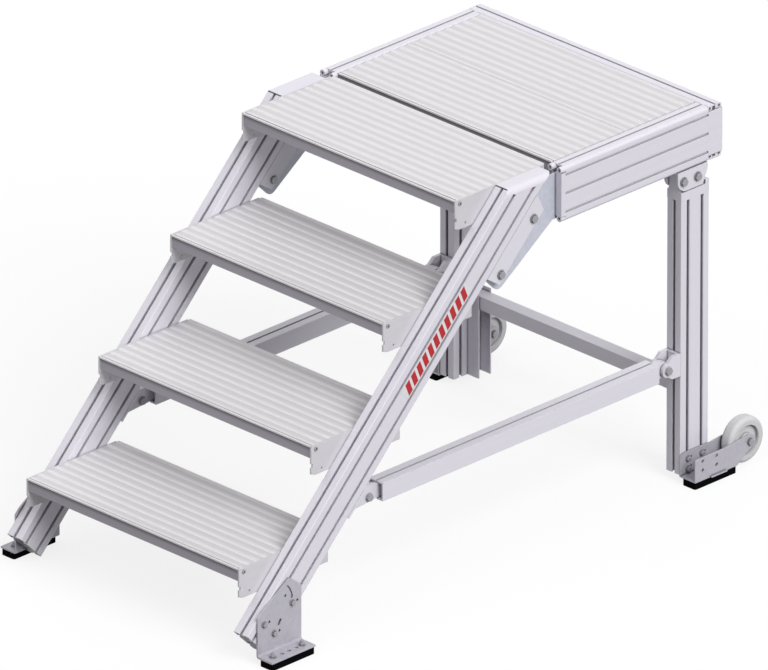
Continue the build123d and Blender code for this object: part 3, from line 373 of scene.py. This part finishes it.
def extruded(name, axis, colour, crevice=None, ends=None, pin=None):
    """Satin aluminium with fine die lines along its length, a painted highlight on its edges and painted shade
    in its crevices; the given ends get painted shade and a pin is of zinc.
    """
    finish = Finish(name, "extruded")
    turn, scale = GRAIN[axis]
    lines = finish.noise(finish.stretched(turn, scale))
    bands = finish.noise(finish.stretched(turn, tuple(s / BAND_WIDTH for s in scale)))
    plain = finish.varied(finish.mixed(LINE_SHARE, lines, bands), colour)
    shade = finish.with_painted_light(plain, colour, crevice)
    # Painted shade on the stringer's lower end and on its edge below the cap
    if ends:
        shade = finish.blend(finish.cut_ends(*ends), shade, tint(colour, END_PAINTED_SHADE))
    if pin:
        shade = finish.blend(finish.around(pin, PIN_RADIUS), shade, tint(ZINC))
    finish.colour(shade)
    finish.rough(finish.math("MULTIPLY", finish.clouds(), bands))
    finish.bump(lines)
    return finish.material


def plank(name, front, top, colour, lip):
    """Ribbed surface with a painted highlight on the rib tops, painted shade between them and fine lines along
    X;
    a lip goes with a nosing that has painted shade and a painted highlight.
    """
    finish = Finish(name, "plank")
    lines = finish.noise(finish.stretched(*GRAIN["x"]))
    split = finish.node("ShaderNodeSeparateXYZ", {"Vector": finish.place})
    turns = finish.math("DIVIDE", finish.math("SUBTRACT", split.outputs["Y"], front + FIRST_RIB), RIB_PITCH)
    from_rib = finish.math("ABSOLUTE", finish.math("SUBTRACT", turns, finish.math("ROUND", turns)))
    # 1 on the rib tops and 0 between them: a painted highlight on the tops and painted shade between, mixed
    #                                       with specks
    rib = finish.ramp(from_rib, *RIB_FLANK)
    tone = finish.mixed(SPECK_SHARE, finish.clouds(), rib)
    plain = finish.varied(tone, colour)
    if lip:
        back = finish.math("SUBTRACT", split.outputs["Y"], front)
        drop = finish.math("SUBTRACT", top, split.outputs["Z"])
        plain = finish.nosing(plain, back, drop, colour)
    finish.colour(plain)
    finish.rough(tone)
    finish.bump(lines)
    return finish.material


def galvanised(name, colour):
    """Galvanised sheet: faint crystal facets and small scratches, with a painted highlight on its edges and
    painted shade in its crevices.
    """
    finish = Finish(name, "steel")
    inputs = {"Vector": finish.place, "Scale": FACET_SCALE}
    facets = finish.node("ShaderNodeTexVoronoi", inputs).outputs["Color"]
    facet = finish.node("ShaderNodeSeparateColor", {"Color": facets}).outputs[0]
    plain = finish.varied(finish.mixed(FACET_SHARE, facet, finish.clouds()), colour)
    finish.colour(finish.with_painted_light(plain, colour))
    finish.rough(facet)
    finish.bump(finish.grain())
    return finish.material


def zinc(name, colour):
    """Zinc-plated fasteners, with a painted highlight on their edges and painted shade in their crevices."""
    finish = Finish(name, "zinc")
    clouds = finish.clouds()
    finish.colour(finish.with_painted_light(finish.varied(clouds, colour), colour))
    finish.rough(clouds)
    finish.bump(clouds)
    return finish.material


def rubber(name, colour):
    """Matt rubber with a fine moulded grain and some dust."""
    finish = Finish(name, "rubber")
    dust = finish.clouds()
    finish.colour(finish.varied(dust, colour))
    finish.rough(dust)
    finish.bump(finish.grain())
    return finish.material


def plastic(name, colour):
    """Pale moulded polyamide, with a painted highlight on its edges and painted shade in its crevices."""
    finish = Finish(name, "plastic")
    clouds = finish.clouds()
    finish.colour(finish.with_painted_light(finish.varied(clouds, colour), colour))
    finish.rough(clouds)
    finish.bump(finish.grain())
    return finish.material


def paper(name, colour):
    """Printed film of the sticker."""
    finish = Finish(name, "film")
    clouds = finish.clouds()
    finish.colour(finish.varied(clouds, colour))
    finish.rough(clouds)
    return finish.material


PROFILE_FINISH = {axis: extruded(f"aluminium_{axis}", axis, ALUMINIUM) for axis in GRAIN}
CHEEK_FINISH = extruded("cheek_sheet", "y", CHEEK_ALUMINIUM, crevice=CHEEK_CREVICE)
STRINGER_ENDS = (STRINGER_START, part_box("stringer_right")[1].z)
STRINGER_FINISH = extruded("stringer_profile", "slope", ALUMINIUM, STRINGER_CREVICE, STRINGER_ENDS)
FRONT_JOINT_FINISH = extruded("front_joint", "y", ALUMINIUM, pin=FRONT_PIN)
REAR_JOINT_FINISH = extruded("rear_joint", "y", ALUMINIUM, pin=REAR_PIN)
STEEL_FINISH = galvanised("galvanised_steel", STEEL)
BLUE_STEEL_FINISH = galvanised("blue_galvanised_steel", BLUE_STEEL)
ZINC_FINISH = zinc("zinc_plate", ZINC)
RUBBER_FINISH = rubber("black_rubber", RUBBER)
WHEEL_FINISH = plastic("pale_polyamide", POLYAMIDE)
STICKER_FINISH = paper("sticker_film", STICKER)
STICKER_RED_FINISH = paper("sticker_red", STICKER_RED)

# Finish of each kind of node, by the start of its name; the first that fits is taken
NODE_FINISHES = [
    ("stringer_cap", PROFILE_FINISH["y"]),
    ("stringer", STRINGER_FINISH),
    ("head_channel", PROFILE_FINISH["slope"]),
    ("web_plate", BLUE_STEEL_FINISH),
    ("platform_rear", PROFILE_FINISH["x"]),
    ("platform_front_beam", PROFILE_FINISH["x"]),
    ("platform", PROFILE_FINISH["y"]),
    ("rear_leg", PROFILE_FINISH["z"]),
    ("leg_bolts", ZINC_FINISH),
    ("leg_", PROFILE_FINISH["z"]),
    ("side_brace", PROFILE_FINISH["y"]),
    ("brace_front", FRONT_JOINT_FINISH),
    ("brace_rear", REAR_JOINT_FINISH),
    ("cross_beam", PROFILE_FINISH["x"]),
    ("head_bolts", ZINC_FINISH),
    ("front_foot", STEEL_FINISH),
    ("wheel_bracket", STEEL_FINISH),
    ("wheel_axle", ZINC_FINISH),
    ("wheel", WHEEL_FINISH),
    ("front_pad", RUBBER_FINISH),
    ("rear_pad", RUBBER_FINISH),
]


def dress_node(name, finish):
    materials = NODES[name].data.materials
    materials.clear()
    materials.append(finish)


for node in NODES:
    if node.endswith("_cheeks"):
        dress_node(node, CHEEK_FINISH)
    elif node.startswith(("step_", "deck_plank")):
        low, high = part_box(node)
        dress_node(node, plank(f"ribbed_{node}", low.y, high.z, TREAD, lip=node != "deck_plank_2"))
    else:
        dress_node(node, next(finish for start, finish in NODE_FINISHES if node.startswith(start)))


def add_piece(name, shape, finishes):
    """Makes an object of a bmesh and lets it ride on the frame."""
    mesh = bpy.data.meshes.new(name)
    shape.to_mesh(mesh)
    shape.free()
    for finish in finishes:
        mesh.materials.append(finish)
    piece = bpy.data.objects.new(name, mesh)
    bpy.context.scene.collection.objects.link(piece)
    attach(piece, "frame")


def turned(shape, place, rings, sides):
    """Closed stack of regular polygons, each a (radius, height) on the place's own Z axis."""
    loops = []
    for radius, height in rings:
        turns = [2 * math.pi * corner / sides for corner in range(sides)]
        points = [Vector((radius * math.cos(turn), radius * math.sin(turn), height)) for turn in turns]
        loops.append([shape.verts.new(place @ point) for point in points])
    for low, high in zip(loops, loops[1:]):
        for corner in range(sides):
            shape.faces.new((low[corner - 1], low[corner], high[corner], high[corner - 1]))
    shape.faces.new(reversed(loops[0]))
    shape.faces.new(loops[-1])


def washer(shape, place, radius, height):
    chamfer = height * WASHER_CHAMFER
    rings = [(radius, 0), (radius, height - chamfer), (radius - chamfer, height)]
    turned(shape, place, rings, ROUND_SIDES)


def hexagon(shape, place, low, radius, height):
    """Hexagon head or nut with a chamfered top."""
    chamfer = height * HEXAGON_CHAMFER
    inner = radius - HEXAGON_CHAMFER_SLOPE * chamfer
    rings = [(radius, low), (radius, low + height - chamfer), (inner, low + height)]
    turned(shape, place, rings, HEXAGON_SIDES)


def bolt(shape, place):
    """Washer and hexagon head."""
    washer(shape, place, WASHER_RADIUS, WASHER_HEIGHT)
    hexagon(shape, place, WASHER_HEIGHT, HEAD_RADIUS, HEAD_HEIGHT)


def stud(shape, place):
    """Washer and nut with the end of a threaded stud."""
    bolt(shape, place)
    low = WASHER_HEIGHT + HEAD_HEIGHT
    rings = [(THREAD_RADIUS * r, low + THREAD_HEIGHT * h) for r, h in THREAD_RINGS]
    turned(shape, place, rings, ROUND_SIDES)


def socket_screw(shape, place):
    """Low round head with a socket in its middle."""
    turned(shape, place, [(SCREW_RADIUS * r, SCREW_HEIGHT * h) for r, h in SCREW_RINGS], ROUND_SIDES)


def large_washer(shape, place):
    washer(shape, place, LARGE_WASHER_RADIUS, LARGE_WASHER_HEIGHT)


def facing(point, axis):
    """Place at a point, with its Z axis along an axis."""
    return Matrix.Translation(point) @ axis.to_track_quat("Z", "Y").to_matrix().to_4x4()


def node_middle(name):
    low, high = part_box(name)
    return (low + high) / 2


def fasten(name, make, places, side):
    """One piece with a fastener at each (point, axis) of the right side, mirrored for side -1."""
    shape = bmesh.new()
    for point, axis in places:
        mirrored = Vector((side * point.x, point.y, point.z)), Vector((side * axis.x, axis.y, axis.z))
        make(shape, facing(*mirrored))
    add_piece(name, shape, [ZINC_FINISH])


ACROSS = Vector((1, 0, 0))
UP = Vector((0, 0, 1))

# Bolts of the front foot as (distance behind its front, height)
FOOT_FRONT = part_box("front_foot_right")[0].y
FOOT_BOLTS = [(0.0180, 0.0844), (0.0462, 0.0561), (0.0972, 0.1070)]
FOOT_PLATE = STRINGER_FACE + FOOT_SHEET
FLANGE_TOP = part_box("front_pad_right")[1].z + FOOT_SHEET
FLANGE_BOLT_REACH = 0.041

LEG_MIDDLE = node_middle("rear_leg_right")
SLOT_REACH = 0.020
BRACKET_BOLT_HEIGHTS = (0.050, 0.027)
BRACKET_PLATE = STRINGER_FACE + BRACKET_SHEET

SCREW_BACK = 0.013
SCREW_DROP = 0.009

HEAD_BOLT_RADIUS = 0.0085


def foot_places():
    return [(Vector((FOOT_PLATE, FOOT_FRONT + back, height)), ACROSS) for back, height in FOOT_BOLTS]


def flange_places():
    middle = node_middle("front_pad_right")
    return [
        (Vector((middle.x, middle.y + reach, FLANGE_TOP)), UP)
        for reach in (-FLANGE_BOLT_REACH, FLANGE_BOLT_REACH)
    ]


def bracket_places():
    return [
        (Vector((BRACKET_PLATE, LEG_MIDDLE.y + reach, height)), ACROSS)
        for reach in (-SLOT_REACH, SLOT_REACH)
        for height in BRACKET_BOLT_HEIGHTS
    ]


def cheek_places():
    steps = [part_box(node) for node in sorted(NODES) if node.startswith("step_") and node.endswith("_cheeks")]
    return [(Vector((CHEEK_FACE, low.y + SCREW_BACK, high.z - SCREW_DROP)), ACROSS) for low, high in steps]


def washer_places():
    """Under both hexagon heads of each pair of through bolts; the heads fill opposite corners of its box."""
    places = []
    reach = Vector((0, HEAD_BOLT_RADIUS, HEAD_BOLT_RADIUS * math.cos(math.radians(30))))
    for pair in ("head_bolts_right", "leg_bolts_right"):
        low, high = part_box(pair)
        for middle in (low + reach, high - reach):
            places.append((Vector((STRINGER_FACE, middle.y, middle.z)), ACROSS))
    return places


FASTENERS = {
    "foot_bolts": (bolt, foot_places()),
    "flange_studs": (stud, flange_places()),
    "bracket_bolts": (bolt, bracket_places()),
    "cheek_screws": (socket_screw, cheek_places()),
    "bolt_washers": (large_washer, washer_places()),
}
for name, (make, places) in FASTENERS.items():
    for suffix, side in (("right", 1), ("left", -1)):
        fasten(f"{name}_{suffix}", make, places, side)


def on_stringer(along, offset, height):
    """Point on the right stringer's outer face, along the nosing line, behind it and above the face."""
    y = NOSING_Y + along * math.cos(SLOPE) + offset * math.sin(SLOPE)
    z = FIRST_STEP_HEIGHT + along * math.sin(SLOPE) - offset * math.cos(SLOPE)
    return Vector((STRINGER_FACE + height, y, z))


def film(shape, outline, low, high, material):
    """Thin closed plate on the stringer's face from an outline of (along, offset) points."""
    under = [shape.verts.new(on_stringer(*point, low)) for point in outline]
    over = [shape.verts.new(on_stringer(*point, high)) for point in outline]
    faces = [shape.faces.new(under), shape.faces.new(reversed(over))]
    for corner in range(len(outline)):
        faces.append(shape.faces.new((under[corner - 1], over[corner - 1], over[corner], under[corner])))
    for face in faces:
        face.material_index = material


def rounded_outline(along, offset, radius):
    """Rectangle of (along, offset) points with round corners."""
    middles = [(along[1] - radius, offset[1] - radius), (along[0] + radius, offset[1] - radius),
               (along[0] + radius, offset[0] + radius), (along[1] - radius, offset[0] + radius)]
    outline = []
    for quarter, (a, o) in enumerate(middles):
        for part in range(CORNER_PARTS + 1):
            turn = math.radians(90.0 * (quarter + part / CORNER_PARTS))
            outline.append((a + radius * math.cos(turn), o + radius * math.sin(turn)))
    return outline


def sticker():
    """Pale film with a row of plain slanted red stripes."""
    shape = bmesh.new()
    film(shape, rounded_outline(STICKER_ALONG, STICKER_OFFSET, STICKER_ROUND), 0, STICKER_HEIGHT, 0)
    top = STICKER_HEIGHT + STRIPE_HEIGHT
    low, high = STICKER_OFFSET[0] + STRIPE_MARGIN, STICKER_OFFSET[1] - STRIPE_MARGIN
    pitch = (STICKER_ALONG[1] - STICKER_ALONG[0] - 2 * STRIPE_MARGIN - STRIPE_LEAN) / STRIPE_COUNT
    for stripe in range(STRIPE_COUNT):
        start = STICKER_ALONG[0] + STRIPE_MARGIN + pitch * (stripe + (1 - STRIPE_SHARE) / 2)
        end = start + pitch * STRIPE_SHARE
        outline = [(start, high), (end, high), (end + STRIPE_LEAN, low), (start + STRIPE_LEAN, low)]
        film(shape, outline, STICKER_HEIGHT, top, 1)
    bmesh.ops.recalc_face_normals(shape, faces=shape.faces)
    add_piece("striped_sticker", shape, [STICKER_FINISH, STICKER_RED_FINISH])


def floor():
    """Floor that keeps the shadow and glows where it is seen, so that it meets the white."""
    bpy.ops.mesh.primitive_plane_add(size=FLOOR_SIZE)
    plane = bpy.context.object
    plane.name = "floor"
    material = bpy.data.materials.new("floor")
    material.use_nodes = True
    tree = material.node_tree
    shader = tree.nodes["Principled BSDF"]
    shader.inputs["Base Color"].default_value = FLOOR_COLOUR
    shader.inputs["Roughness"].default_value = FLOOR_ROUGHNESS
    shader.inputs["Specular IOR Level"].default_value = 0.0
    shader.inputs["Emission Color"].default_value = WHITE
    glow = tree.nodes.new("ShaderNodeMath")
    glow.operation = "MULTIPLY"
    glow.inputs[1].default_value = FLOOR_GLOW
    tree.links.new(seen_rays(tree), glow.inputs[0])
    tree.links.new(glow.outputs[0], shader.inputs["Emission Strength"])
    plane.data.materials.append(material)


def seen_rays(tree):
    """1 for what the camera sees directly, in reflections or through something, 0 for what only lights."""
    rays = tree.nodes.new("ShaderNodeLightPath")
    seen = rays.outputs["Is Camera Ray"]
    for kind in ("Is Glossy Ray", "Is Transmission Ray"):
        either = tree.nodes.new("ShaderNodeMath")
        either.operation = "MAXIMUM"
        tree.links.new(seen, either.inputs[0])
        tree.links.new(rays.outputs[kind], either.inputs[1])
        seen = either.outputs[0]
    return seen


def world():
    """White where it is seen, a soft grey as light."""
    scene = bpy.context.scene
    scene.world = bpy.data.worlds.new("studio")
    scene.world.use_nodes = True
    tree = scene.world.node_tree
    background = tree.nodes["Background"]
    background.inputs["Color"].default_value = WHITE
    strength = tree.nodes.new("ShaderNodeMapRange")
    strength.inputs["To Min"].default_value = AMBIENT
    strength.inputs["To Max"].default_value = 1.0
    tree.links.new(seen_rays(tree), strength.inputs["Value"])
    tree.links.new(strength.outputs["Result"], background.inputs["Strength"])


def lamp(name, strength, direction, width):
    """Lamp whose own mirror image isn't seen in the metal, so that no face turns plain white."""
    light = bpy.data.lights.new(name, "SUN")
    light.energy = strength
    light.angle = math.radians(width)
    shining = bpy.data.objects.new(name, light)
    shining.rotation_mode = "QUATERNION"
    shining.rotation_quaternion = direction.to_track_quat("Z", "Y")
    shining.visible_glossy = False
    bpy.context.scene.collection.objects.link(shining)


def camera():
    data = bpy.data.cameras.new("camera")
    data.lens = LENS
    data.sensor_width = SENSOR
    distance = FRAME_WIDTH * LENS / SENSOR
    data.clip_end = 2 * distance
    level = math.cos(ELEVATION)
    back = Vector((math.sin(AZIMUTH) * level, -math.cos(AZIMUTH) * level, math.sin(ELEVATION)))
    shot = bpy.data.objects.new("camera", data)
    shot.location = TARGET + back * distance
    shot.rotation_mode = "QUATERNION"
    shot.rotation_quaternion = (-back).to_track_quat("-Z", "Y")
    bpy.context.scene.collection.objects.link(shot)
    bpy.context.scene.camera = shot


sticker()
floor()
world()
for name, (strength, direction, width) in LAMPS.items():
    lamp(name, strength, direction, width)
camera()
bpy.context.scene.view_settings.view_transform = "Standard"
